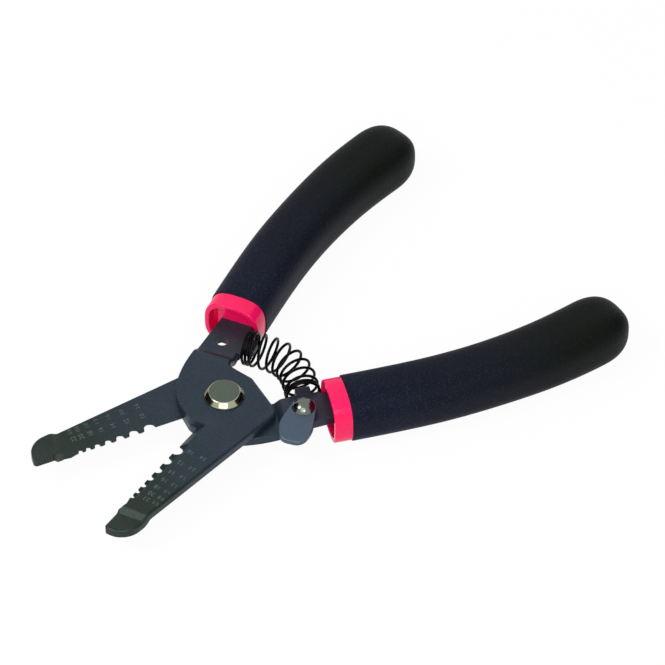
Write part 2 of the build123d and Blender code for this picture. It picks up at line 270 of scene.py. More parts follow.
@dataclass(frozen=True)
class BlackenedSteel:
    """Oil-blackened sheet steel, bluish at the head, olive at the nose and brownish at the handle.

    The tint follows the distance along the tool, and fine grain, rub marks and small pits vary
    colour and roughness.
    """

    name: str = "blackened_steel"
    head: Colour = srgb(41, 54, 66)
    jaw: Colour = srgb(28, 45, 34)
    nose: Colour = srgb(38, 50, 41)
    tang: Colour = srgb(52, 46, 60)
    worn: Colour = srgb(92, 100, 106)
    wear: float = 0.11

    def material(self) -> bpy.types.Material:
        """Builds the node tree."""
        s = Shader(self.name)
        where = s.place()
        y = s.node("ShaderNodeSeparateXYZ", inputs={0: where}, output="Y")
        cloud = s.noise(where, 0.009, 3.0)
        drift = y + (cloud - 0.5) * 0.006
        to_jaw = s.span(drift, -0.040, -0.064)
        to_nose = s.span(drift, -0.058, -0.073)
        to_tang = s.span(drift, -0.018, -0.004)
        grain = s.noise(where, 0.00028, 2.0, 0.6)
        pits = s.ramp(s.noise(where, 0.00016, 1.0), (0.66, 0.0), (0.74, 1.0))
        tint = s.mix(to_jaw, s.mix(to_tang, self.head, self.tang), self.jaw)
        tint = s.mix(to_nose, tint, self.nose)
        rub = s.ramp(grain * 0.6 + cloud * 0.4, (0.46, 0.0), (0.66, 1.0))
        blast = s.ramp(s.noise(where, 0.0006, 1.0), (0.40, 0.0), (0.62, 1.0))
        tint = s.mix(blast * 0.30, tint, srgb(22, 28, 36))
        colour = s.mix(rub * self.wear, tint, self.worn)
        return s.surface(
            Base_Color=s.mix(pits * 0.5, colour, srgb(20, 24, 30)),
            Metallic=0.4,
            Roughness=0.32 + cloud * 0.14 - rub * 0.06,
            Specular_IOR_Level=0.25,
            Normal=s.bump(grain - pits * 0.6, 0.000024),
        )


@dataclass(frozen=True)
class TurnedCap:
    """Plated cap painted darker on its flat top and paler on its slanted rim, as painted shade and
    painted reflection; the top is also rougher with turning marks while the rim stays polished.

    The rings are noise stretched round the pivot: its input is the distance from the axis.
    """

    shaded_top: Colour = srgb(96, 106, 93)
    rim: Colour = srgb(166, 164, 143)
    flat_z: float = 0.0
    rings_per_metre: float = 9000.0

    def material(self) -> bpy.types.Material:
        """Builds the node tree."""
        s = Shader("turned_cap")
        where = s.place()
        z = s.node("ShaderNodeSeparateXYZ", inputs={0: where}, output="Z")
        centre = tuple(float(v) * MM for v in PIVOT)
        away = s.node(
            "ShaderNodeVectorMath", {"operation": "DISTANCE"}, {0: where, 1: centre}, "Value"
        )
        rings = s.node(
            "ShaderNodeTexNoise",
            {"noise_dimensions": "1D"},
            {"W": away, "Scale": self.rings_per_metre},
        )
        mottle = s.noise(where, 0.0006, 3.0, 0.6)
        cloud = s.noise(where, 0.003, 3.0)
        flat = z > self.flat_z
        pale = s.mix(mottle * 0.7, self.shaded_top, tuple(0.62 * c for c in self.shaded_top))
        lit_rim = s.mix(cloud * 0.4, self.rim, tuple(0.7 * c for c in self.rim))
        return s.surface(
            # painted shade on the flat top and painted reflection on the slanted rim, split by height
            Base_Color=s.mix(flat, lit_rim, pale),
            Metallic=1.0,
            Roughness=0.10 + flat * 0.14 + mottle * 0.10,
            Normal=s.bump(rings * 0.5 + mottle * 0.5, 0.000008),
        )


@dataclass(frozen=True)
class PlatedMetal:
    """Polished plating with faint turned rings and a slightly uneven gloss."""

    name: str = "bright_nickel"
    colour: Colour = srgb(112, 118, 110)
    gloss: float = 0.12

    def material(self) -> bpy.types.Material:
        """Builds the node tree."""
        s = Shader(self.name)
        where = s.place()
        cloud = s.noise(where, 0.003, 3.0)
        fine = s.noise(s.place(stretch=(1.0, 1.0, 6.0)), 0.0004, 2.0)
        colour = s.mix(cloud * 0.5, self.colour, tuple(0.72 * c for c in self.colour))
        return s.surface(
            Base_Color=colour,
            Metallic=1.0,
            Roughness=self.gloss + fine * 0.10,
            Normal=s.bump(fine, 0.000006),
        )


@dataclass(frozen=True)
class OiledWire:
    """Black oiled spring wire with fine drawing marks along its length."""

    colour: Colour = srgb(3, 3, 6)
    rubbed: Colour = srgb(13, 14, 22)

    def material(self) -> bpy.types.Material:
        """Builds the node tree."""
        s = Shader("oiled_wire")
        where = s.place()
        cloud = s.noise(where, 0.002, 2.0)
        fine = s.noise(where, 0.0002)
        return s.surface(
            Base_Color=s.mix(s.ramp(cloud, (0.5, 0.0), (0.8, 0.7)), self.colour, self.rubbed),
            Roughness=0.18 + cloud * 0.14,
            Specular_IOR_Level=0.06,
            Normal=s.bump(fine, 0.000006),
        )


@dataclass(frozen=True)
class SatinSteel:
    """Smooth grey-blue tumbled steel of the lock lever, with fine scuffs."""

    colour: Colour = srgb(78, 93, 109)
    shade: Colour = srgb(60, 71, 84)
    scuff: Colour = srgb(118, 128, 140)

    def material(self) -> bpy.types.Material:
        """Builds the node tree."""
        s = Shader("satin_lever")
        where = s.place()
        cloud = s.noise(where, 0.004, 3.0)
        grain = s.noise(where, 0.0003, 2.0)
        streak = s.noise(s.place(0.6, (1.0, 9.0, 1.0)), 0.0016, 3.0)
        scuffs = s.ramp(streak, (0.60, 0.0), (0.72, 1.0))
        colour = s.mix(cloud * 0.5, self.colour, self.shade)
        return s.surface(
            Base_Color=s.mix(scuffs * 0.22, colour, self.scuff),
            Metallic=0.6,
            Roughness=0.30 + grain * 0.10 - scuffs * 0.05,
            Specular_IOR_Level=0.3,
            Normal=s.bump(grain, 0.00001),
        )


@dataclass(frozen=True)
class GlossyPlastic:
    """Bright moulded plastic of the collars with soft flow marks and fine handling scratches."""

    colour: Colour = srgb(250, 12, 96)
    deep: Colour = srgb(232, 5, 74)

    def material(self) -> bpy.types.Material:
        """Builds the node tree."""
        s = Shader("collar_plastic")
        where = s.place()
        cloud = s.noise(where, 0.006, 3.0)
        fine = s.noise(where, 0.0005, 2.0)
        streak = s.noise(s.place(0.9, (1.0, 14.0, 1.0)), 0.002, 2.0)
        scratch = s.ramp(streak, (0.64, 0.0), (0.70, 1.0))
        colour = s.mix(s.ramp(cloud, (0.4, 0.0), (0.75, 0.5)), self.colour, self.deep)
        return s.surface(
            Base_Color=colour,
            Roughness=0.14 + cloud * 0.08 + scratch * 0.12,
            Specular_IOR_Level=0.3,
            Subsurface_Weight=0.06,
            Subsurface_Scale=0.001,
            Normal=s.bump(fine + scratch * 0.3, 0.000008),
        )


@dataclass(frozen=True)
class GripRubber:
    """Dark moulded rubber with a fine leathery grain and pale dots on its high spots, partly the
    rubber's own speckle and partly painted highlight.
    """

    colour: Colour = srgb(9, 12, 28)
    fleck_and_highlight: Colour = srgb(84, 94, 126)
    end_tint: Colour = srgb(9, 12, 9)
    end_fleck_and_highlight: Colour = srgb(50, 58, 54)

    def material(self) -> bpy.types.Material:
        """Builds the node tree."""
        s = Shader("grip_rubber")
        where = s.place()
        y = s.node("ShaderNodeSeparateXYZ", inputs={0: where}, output="Y")
        grain = s.noise(where, 0.00034, 2.0, 0.6)
        cells = s.node(
            "ShaderNodeTexVoronoi",
            {"feature": "SMOOTH_F1"},
            {"Vector": where, "Scale": 1 / 0.0008, "Smoothness": 0.6},
        )
        cloud = s.noise(where, 0.011, 2.0)
        flecks_and_highlights = s.ramp(grain, (0.54, 0.0), (0.70, 1.0))
        to_end = s.span(y, 0.004, 0.056)
        base = s.mix(to_end, self.colour, self.end_tint)
        speck_and_highlight = s.mix(to_end, self.fleck_and_highlight, self.end_fleck_and_highlight)
        # pale dots on the grain's high spots: partly the rubber's own speckle, partly painted
        # highlight
        colour = s.mix(flecks_and_highlights * 0.22 + cloud * 0.04, base, speck_and_highlight)
        return s.surface(
            Base_Color=colour,
            Roughness=0.42 + grain * 0.2,
            Specular_IOR_Level=0.08,
            Sheen_Weight=0.05,
            Sheen_Roughness=0.35,
            Sheen_Tint=(0.55, 0.66, 1.0, 1.0),
            Normal=s.bump(grain * 0.6 + (1 - cells) * 0.4, 0.00014),
        )


def natural_spline(knots: Array, at: Array) -> Array:
    """Evaluates a natural cubic spline through the knots.

    The parameter is the running chord length. Second derivatives solve the usual tridiagonal
    system, written here as one dense matrix because there are few knots.

    Args:
        knots: Points to pass through, one row each.
        at: Parameters from 0 to 1.

    Returns:
        One point for each parameter.
    """
    t = np.r_[0, np.cumsum(np.linalg.norm(np.diff(knots, axis=0), axis=1))]
    t = t / t[-1]
    n = len(t)
    h = np.diff(t)
    matrix = np.eye(n)
    right = np.zeros((n, knots.shape[1]))
    inner = np.arange(1, n - 1)
    matrix[inner, inner - 1] = h[:-1]
    matrix[inner, inner] = 2 * (h[:-1] + h[1:])
    matrix[inner, inner + 1] = h[1:]
    slope = np.diff(knots, axis=0) / h[:, None]
    right[1:-1] = 6 * np.diff(slope, axis=0)
    bend = np.linalg.solve(matrix, right)
    k = np.clip(np.searchsorted(t, at, side="right") - 1, 0, n - 2)
    a = ((t[k + 1] - at) / h[k])[:, None]
    b = 1 - a
    step = (h[k] ** 2 / 6)[:, None]
    curved = (a**3 - a) * bend[k] + (b**3 - b) * bend[k + 1]
    return a * knots[k] + b * knots[k + 1] + curved * step


def along_length(curve: Callable[[Array], Array], lengths: Array) -> tuple[Array, float]:
    """Parameters at which a curve has run the given lengths, and the curve's whole length."""
    u = np.linspace(0, 1, 2001)
    run = np.r_[0, np.cumsum(np.linalg.norm(np.diff(curve(u), axis=0), axis=1))]
    return np.interp(lengths, run, u), float(run[-1])


def grid_faces(rows: int, columns: int, wrap: bool) -> Array:
    """Quads between the points of a grid, closed round its columns when wrap is set."""
    r = np.arange(rows - 1)[:, None]
    c = np.arange(columns if wrap else columns - 1)[None, :]
    d = (c + 1) % columns
    here, below = r * columns, (r + 1) * columns
    return np.stack([here + c, here + d, below + d, below + c], -1).reshape(-1, 4)


def build(
    name: str, points: Array, faces: Sequence[Sequence[int]], sharp: float = 40.0
) -> bpy.types.Object:
    """Makes a smooth-shaded object from points in millimetres.

    Doubles are merged and the faces are turned outwards before shading.

    Args:
        name: Name of the piece.
        points: Corner points in millimetres in the part frame.
        faces: Corner numbers of each face.
        sharp: Edges that turn by more than this many degrees stay sharp.

    Returns:
        The object, linked to the scene.
    """
    mesh = bpy.data.meshes.new(name)
    mesh.from_pydata((points * MM).tolist(), [], [list(f) for f in faces])
    bm = bmesh.new()
    bm.from_mesh(mesh)
    bmesh.ops.remove_doubles(bm, verts=bm.verts, dist=1e-7)
    bmesh.ops.recalc_face_normals(bm, faces=bm.faces)
    bm.to_mesh(mesh)
    bm.free()
    return link(name, mesh, sharp)


def link(name: str, mesh: bpy.types.Mesh, sharp: float) -> bpy.types.Object:
    """Shades a mesh smooth up to an angle and puts it in the scene."""
    mesh.polygons.foreach_set("use_smooth", np.ones(len(mesh.polygons), bool))
    mesh.set_sharp_from_angle(angle=math.radians(sharp))
    piece = bpy.data.objects.new(name, mesh)
    bpy.context.scene.collection.objects.link(piece)
    return piece


def revolve(profile: Array, centre: Array, count: int = 96) -> tuple[Array, list[list[int]]]:
    """Turns a closed half profile of radius and height about a vertical axis.

    A point is centre plus radius times the direction of the turn, at the profile's height.
    """
    turn = np.linspace(0, 2 * math.pi, count, endpoint=False)
    ring = np.stack([np.cos(turn), np.sin(turn)], -1)
    flat = profile[:, None, 0:1] * ring[None]
    height = np.broadcast_to(profile[:, None, 1:2], (len(profile), count, 1))
    points = np.concatenate([flat, height], -1).reshape(-1, 3) + centre
    return points, grid_faces(len(profile), count, True).tolist()


def rounded(points: Sequence[tuple[float, float, float]], steps: int = 6) -> Array:
    """Rounds the corners of an open profile.

    Each point gives its place and its radius, and the corner becomes the arc that touches both
    sides, drawn as a quadratic between the touching points.
    """
    raw = np.array([p[:2] for p in points], float)
    out = [raw[:1]]
    for k in range(1, len(raw) - 1):
        radius = points[k][2]
        before = raw[k - 1] - raw[k]
        after = raw[k + 1] - raw[k]
        reach = min(radius, 0.49 * np.linalg.norm(before), 0.49 * np.linalg.norm(after))
        if reach <= 0:
            out.append(raw[k : k + 1])
            continue
        start = raw[k] + before / np.linalg.norm(before) * reach
        stop = raw[k] + after / np.linalg.norm(after) * reach
        t = np.linspace(0, 1, steps)[:, None]
        out.append((1 - t) ** 2 * start + 2 * t * (1 - t) * raw[k] + t**2 * stop)
    out.append(raw[-1:])
    return np.concatenate(out)


def softened(
    node: bpy.types.Object,
    name: str,
    width: float,
    steps: int = 2,
    chosen: Callable[[Array], Array] | None = None,
) -> bpy.types.Object:
    """Copies a CAD node and rounds its edges.

    Args:
        node: The CAD node's object.
        name: Name of the new piece.
        width: Width of the rounding in millimetres.
        steps: Faces across the rounding.
        chosen: Tells which of the points in millimetres may end a rounded edge. Without it,
            every point may.

    Returns:
        The new piece.
    """
    mesh = bpy.data.meshes.new(name)
    bm = bmesh.new()
    bm.from_mesh(node.data)
    bmesh.ops.remove_doubles(bm, verts=bm.verts, dist=MERGED)
    turn = math.radians(FLAT_TURN)
    bmesh.ops.dissolve_limit(bm, angle_limit=turn, verts=bm.verts, edges=bm.edges)
    bm.to_mesh(mesh)
    bm.free()
    mesh.materials.clear()
    piece = link(name, mesh, EDGE_TURN)
    bevel = piece.modifiers.new("edge", "BEVEL")
    bevel.width = width * MM
    bevel.segments = steps
    bevel.use_clamp_overlap = False
    bevel.angle_limit = math.radians(EDGE_TURN)
    bevel.limit_method = "ANGLE" if chosen is None else "WEIGHT"
    if chosen is not None:
        weigh_edges(mesh, chosen)
    even = piece.modifiers.new("even", "WEIGHTED_NORMAL")
    even.keep_sharp = True
    even.weight = 80
    return piece


def column(rows: Any, key: str, width: int, kind: type = float) -> Array:
    """Reads one property of all elements of a mesh, one row each."""
    values = np.empty(len(rows) * width, kind)
    rows.foreach_get(key, values)
    return values.reshape(-1, width)


def weigh_edges(mesh: bpy.types.Mesh, chosen: Callable[[Array], Array]) -> None:
    """Gives full rounding weight to the sharp edges whose two ends are both chosen."""
    ends = column(mesh.edges, "vertices", 2, int)
    picked = chosen(column(mesh.vertices, "co", 3) / MM)[ends].all(1)
    sharp = column(mesh.attributes["sharp_edge"].data, "value", 1, bool)[:, 0]
    weight = mesh.attributes.new("bevel_weight_edge", "FLOAT", "EDGE")
    weight.data.foreach_set("value", (picked & sharp).astype(float))


def number_mesh(label: str, height: float, relief: float) -> tuple[Array, Array]:
    """Corner points in millimetres and triangles of a number, its middle at the origin.

    Args:
        label: The digits.
        height: Height of the digits in millimetres.
        relief: Half the thickness of the digits in millimetres.

    Returns:
        Points and triangles.
    """
    curve = bpy.data.curves.new("label", "FONT")
    curve.body = label
    curve.size = height / DIGIT_SHARE
    curve.align_x = "CENTER"
    curve.align_y = "CENTER"
    curve.extrude = relief
    curve.resolution_u = 3
    holder = bpy.data.objects.new("label", curve)
    mesh = bpy.data.meshes.new_from_object(holder)
    mesh.calc_loop_triangles()
    points = column(mesh.vertices, "co", 3)
    corners = column(mesh.loop_triangles, "vertices", 3, int)
    bpy.data.objects.remove(holder)
    bpy.data.meshes.remove(mesh)
    return points, corners


def half_frame(side: Side, turned: bool) -> Array:
    """Matrix from the closed tool's plan to the open pose.

    Args:
        side: Which half swings.
        turned: Whether the piece is drawn for the other half and has to be turned over.

    Returns:
        A 4 by 4 matrix in millimetres.
    """
    swing = HALF_OPEN if side is Side.FRONT else -HALF_OPEN
    turn = Matrix.Rotation(swing, 4, "Z")
    if turned:
        turn = turn @ Matrix.Rotation(math.pi, 4, "Y")
    made = np.array(turn, float)
    made[:3, 3] = PIVOT
    return made


def moved(points: Array, frame: Array) -> Array:
    """Points carried by a 4 by 4 matrix."""
    return points @ frame[:3, :3].T + frame[:3, 3]


@dataclass
class Assembly:
    """Shared ways to finish a piece."""

    frame: Mapping[str, Any]
    looks: Mapping[Finish, bpy.types.Material]

    def dress(self, piece: bpy.types.Object, finish: Finish, body: str, *nodes: str) -> None:
        """Gives a new piece its material and body and hides the nodes it stands for."""
        piece.data.materials.clear()
        piece.data.materials.append(self.looks[finish])
        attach(piece, body)
        if nodes:
            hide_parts(*nodes)
        LOG.info("%s: %d faces", piece.name, len(piece.data.polygons))

    def turned(self, name: str, profile: Array, axis: Array, finish: Finish, node: str) -> None:
        """Adds a turned piece of the rear half that stands for a node."""
        points, faces = revolve(profile, axis)
        self.dress(build(name, points, faces), finish, Side.REAR.value, node)

    def repaint(self, node: str, finish: Finish) -> None:
        """Gives a CAD node that stays its finished material."""
        piece = self.frame["nodes"][node]
        piece.data.materials.clear()
        piece.data.materials.append(self.looks[finish])
        LOG.info("%s: kept from the frame", node)


@dataclass
class Stampings(Assembly):
    """The two crossed steel halves with rounded edges and the numbers coined beside the notches.

    Sizes are in millimetres in the closed plan. The blade, within keen of the middle and before
    the crotch, the ring round the spare hole and the spring's seat keep the edges of the frame.
    """

    edge: float = 0.16
    face: float = 2.65
    under: float = -0.05
    relief: float = 0.012
    tall: float = 1.35
    small: float = 1.1
    gauge_x: float = 4.5
    metric_x: float = 7.35
    keen: float = 3.9
    spare: tuple[float, float, float] = (-12.75, 17.1, 2.3)
    crotch: float = -11.0
    seat_x: float = -9.8
    seat_low: float = 9.4
    seat_high: float = 23.8
    metric_lean: float = 0.05

    NOTCH_Y = (-21.4, -25.9, -29.8, -33.2, -36.2, -38.8, -41.0)
    GAUGES = ("10", "12", "14", "16", "18", "20", "22")
    METRIC = ("2.6", "2.0", "1.6", "1.3", "1.0", "0.8", "0.6")

    def make(self) -> None:
        """Builds both halves and their numbers."""
        for side, node in ((Side.FRONT, "front_plate"), (Side.REAR, "rear_plate")):
            name = node.replace("plate", "stamping")
            chosen = partial(self.blunt, side)
            piece = softened(self.frame["nodes"][node], name, self.edge, 2, chosen)
            self.dress(piece, Finish.STEEL, side.value, node)
        self.numbers(Side.FRONT, "front_numbers", 1.0, self.face)
        self.numbers(Side.REAR, "rear_numbers", -1.0, self.under)

    def blunt(self, side: Side, points: Array) -> Array:
        """Tells which points are away from the blade, the teeth, the spare hole and the seat.

        Args:
            side: Which half the points are on.
            points: Places in millimetres in the part frame.

        Returns:
            One truth value for each point.
        """
        plan = moved(points, np.linalg.inv(half_frame(side, side is Side.REAR)))
        x, y = plan[:, 0], plan[:, 1]
        hole = np.hypot(x - self.spare[0], y - self.spare[1]) < self.spare[2]
        seat = (x > self.seat_x) & (y > self.seat_low) & (y < self.seat_high)
        return ((x > self.keen) | (y > self.crotch)) & ~hole & ~seat

    def numbers(self, side: Side, name: str, hand: float, height: float) -> None:
        """Coins two rows of numbers beside the notches, to be read with the jaws pointing up.

        Args:
            side: Which half.
            name: Name of the piece.
            hand: 1 where the jaw lies towards +X in the closed plan, else -1.
            height: Height of the jaw's shown face in the closed plan.
        """
        rows = (
            (self.GAUGES, self.gauge_x, self.tall, 0.0),
            (self.METRIC, self.metric_x, self.small, self.metric_lean),
        )
        points, faces, total = [], [], 0
        for labels, x, size, lean in rows:
            for label, y in zip(labels, self.NOTCH_Y):
                corners, triangles = number_mesh(label, size, self.relief)
                shift = np.array([hand * (x + lean * (y - self.NOTCH_Y[-1])), y, height])
                points.append(corners * np.array([-1.0, -1.0, 1.0]) + shift)
                faces.append(triangles + total)
                total += len(corners)
        placed = moved(np.concatenate(points), half_frame(side, False))
        piece = build(name, placed, np.concatenate(faces).tolist(), 30.0)
        self.dress(piece, Finish.NUMBER, side.value)


@dataclass
class Pivot(Assembly):
    """Flat-topped cap, its rear head and the washer.

    A profile gives each corner's radius from the axis, its height and its rounding.
    """

    head_top: float = 2.65
    cap_radius: float = 5.4
    cap_height: float = 1.75
    cap_rim: float = 0.45
    flat_radius: float = 4.15
    barrel_radius: float = 2.95
    rear_radius: float = 4.6
    rear_height: float = 1.2
    rear_rim: float = 0.54
    rear_slant: float = 0.9
    washer: float = 0.5
    stud_radius: float = 1.7
    stud_sink: float = 0.3

    def make(self) -> None:
        """Builds the cap and the rear head and keeps the washer."""
        top = self.head_top
        crown = top + self.cap_height
        profile = rounded(
            [
                (0.0, crown, 0),
                (self.flat_radius, crown, 0.35),
                (self.cap_radius, top + self.cap_rim, 0.3),
                (self.cap_radius, top, 0.06),
                (self.barrel_radius, top, 0.0),
                (self.barrel_radius, -top, 0.1),
                (0.0, -top, 0),
            ]
        )
        self.turned("pivot_button", profile, PIVOT, Finish.CAP, "pivot_cap")
        stud_top = top - self.stud_sink
        seat = -top - self.washer
        foot = seat - self.rear_height
        profile = rounded(
            [
                (0.0, stud_top, 0),
                (self.stud_radius, stud_top, 0.1),
                (self.stud_radius, seat, 0),
                (self.rear_radius, seat, 0.08),
                (self.rear_radius, seat - self.rear_rim, 0.25),
                (self.rear_radius - self.rear_slant, foot, 0.35),
                (0.0, foot, 0),
            ]
        )
        self.turned("rear_rivet_head", profile, PIVOT, Finish.NICKEL, "pivot_pin")
        self.repaint("pivot_washer", Finish.NICKEL)


@dataclass
class Lock(Assembly):
    """Thumb lever, its domed rivet and the friction washer.

    The dome is the cap of a ball, and the profile below it gives each corner's radius from the
    axis, its height and its rounding.
    """

    place_x: float = 12.75
    place_y: float = 17.1
    base: float = 3.15
    dome_radius: float = 3.1
    dome_height: float = 2.0
    shank_radius: float = 1.7
    tail_radius: float = 2.7
    tail_height: float = 0.9
    tail_rim: float = 0.45
    tail_slant: float = 0.6
    tang_half: float = 1.3
    lever_edge: float = 0.3

    def make(self) -> None:
        """Builds the rivet, rounds the lever and keeps the washer."""
        place = np.array([[self.place_x, self.place_y, 0.0]])
        axis = moved(place, half_frame(Side.REAR, False))[0]
        ball = (self.dome_radius**2 + self.dome_height**2) / (2 * self.dome_height)
        fall = np.linspace(0, math.asin(self.dome_radius / ball), 24)
        dome = np.stack(
            [ball * np.sin(fall), self.base + self.dome_height - ball + ball * np.cos(fall)], -1
        )
        seat = -self.tang_half
        foot = seat - self.tail_height
        skirt = rounded(
            [
                (self.dome_radius, self.base, 0),
                (self.shank_radius, self.base, 0),
                (self.shank_radius, seat, 0),
                (self.tail_radius, seat, 0.05),
                (self.tail_radius, seat - self.tail_rim, 0.2),
                (self.tail_radius - self.tail_slant, foot, 0.2),
                (0.0, foot, 0),
            ]
        )
        profile = np.concatenate([dome, skirt[1:]])
        self.turned("lock_dome", profile, axis, Finish.NICKEL, "lock_rivet")
        lever = softened(self.frame["nodes"]["lock_lever"], "thumb_lever", self.lever_edge, 3)
        self.dress(lever, Finish.LEVER, "lock", "lock_lever")
        self.repaint("lock_washer", Finish.NICKEL)


@dataclass
class ReturnSpring(Assembly):
    """Bowed helical spring between the two handles."""

    wire: float = 0.78
    coil: float = 4.5
    turns: float = 12.0
    end_turns: float = 2.0
    air: float = 0.1
    seat_air: float = 0.02
    bow: float = 1.7
    seat_y: float = 19.7
    lean: float = 11.3
    edge_x: float = -7.05
    edge_y: float = 17.7
    pad: float = 0.35

    def line(self) -> Callable[[Array], Array]:
        """Centre line from the front seat to the rear seat.

        It is an arc that leaves both seats at right angles, pushed out in its middle by half a
        cosine wave.
        """
        lean = math.radians(self.lean)
        root = np.array([self.edge_x - (self.seat_y - self.edge_y) * math.tan(lean), self.seat_y])
        root = root + self.pad * np.array([math.cos(lean), math.sin(lean)])
        c, s = math.cos(HALF_OPEN), math.sin(HALF_OPEN)
        x, y = root[0] * c - root[1] * s, root[0] * s + root[1] * c
        half = HALF_OPEN + lean
        radius = -x / math.sin(half)
        centre = y - radius * math.cos(half)

        def point(u: Array) -> Array:
            angle = half * (2 * u - 1)
            r = radius + self.bow * (1 - np.cos(2 * math.pi * u)) / 2
            return np.stack([r * np.sin(angle), centre + r * np.cos(angle), 0 * u], -1)

        return point

    def helix(self, per_turn: int = 40) -> Array:
        """Points of the wire's centre line.

        The wire turns about the centre line while it moves along it, slowly in the end turns and
        at an even pitch between them.
        """
        line = self.line()
        _, length = along_length(line, np.zeros(1))
        turn = np.linspace(0, self.turns, int(self.turns * per_turn) + 1)
        opened = self.turns - 2 * self.end_turns
        middle = np.clip(turn - self.end_turns, 0, opened)
        margin = self.wire / 2 + self.seat_air
        pitch = self.wire + self.air
        rest = length - 2 * margin - 2 * self.end_turns * pitch
        run = margin + pitch * (turn - middle) + rest * self.ease(middle / opened)
        u, _ = along_length(line, run)
        ahead = line(np.minimum(u + 1e-3, 1)) - line(np.maximum(u - 1e-3, 0))
        ahead /= np.linalg.norm(ahead, axis=1)[:, None]
        out = np.stack([-ahead[:, 1], ahead[:, 0], 0 * u], -1)
        ring = 2 * math.pi * turn
        up = np.array([0.0, 0.0, 1.0])
        return line(u) + self.coil * (np.cos(ring)[:, None] * out + np.sin(ring)[:, None] * up)

    @staticmethod
    def ease(t: Array, edge: float = 0.08) -> Array:
        """Starts and stops a run from 0 to 1 gently, with parabolas at both ends."""
        start = t * t / (2 * edge)
        stop = 1 - edge - (1 - t) ** 2 / (2 * edge)
        value = np.where(t < edge, start, np.where(t > 1 - edge, stop, t - edge / 2))
        return value / (1 - edge)

    def make(self, sides: int = 12) -> None:
        """Sweeps a round section along the wire, whose centre line bows between the seats."""
        path = self.helix()
        ahead = np.gradient(path, axis=0)
        ahead /= np.linalg.norm(ahead, axis=1)[:, None]
        centre_turn = np.cross(ahead, np.gradient(ahead, axis=0))
        across = np.cross(centre_turn, ahead)
        across /= np.linalg.norm(across, axis=1)[:, None]
        other = np.cross(ahead, across)
        a = np.linspace(0, 2 * math.pi, sides, endpoint=False)
        c, s = np.cos(a)[None, :, None], np.sin(a)[None, :, None]
        ring = c * across[:, None] + s * other[:, None]
        points = (path[:, None] + self.wire / 2 * ring).reshape(-1, 3) + PIVOT
        faces = grid_faces(len(path), sides, True).tolist()
        faces += [list(range(sides)), list(range(len(points) - sides, len(points)))]
        piece = build("coil_spring", points, faces, 60.0)
        piece.data.materials.append(self.looks[Finish.WIRE])
        ends = self.line()(np.array([0.0, 1.0])) + PIVOT
        ends[1] * MM
        ends[0] * MM
        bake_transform(piece)
        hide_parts("return_spring")
        LOG.info("coil_spring: %d faces", len(piece.data.polygons))


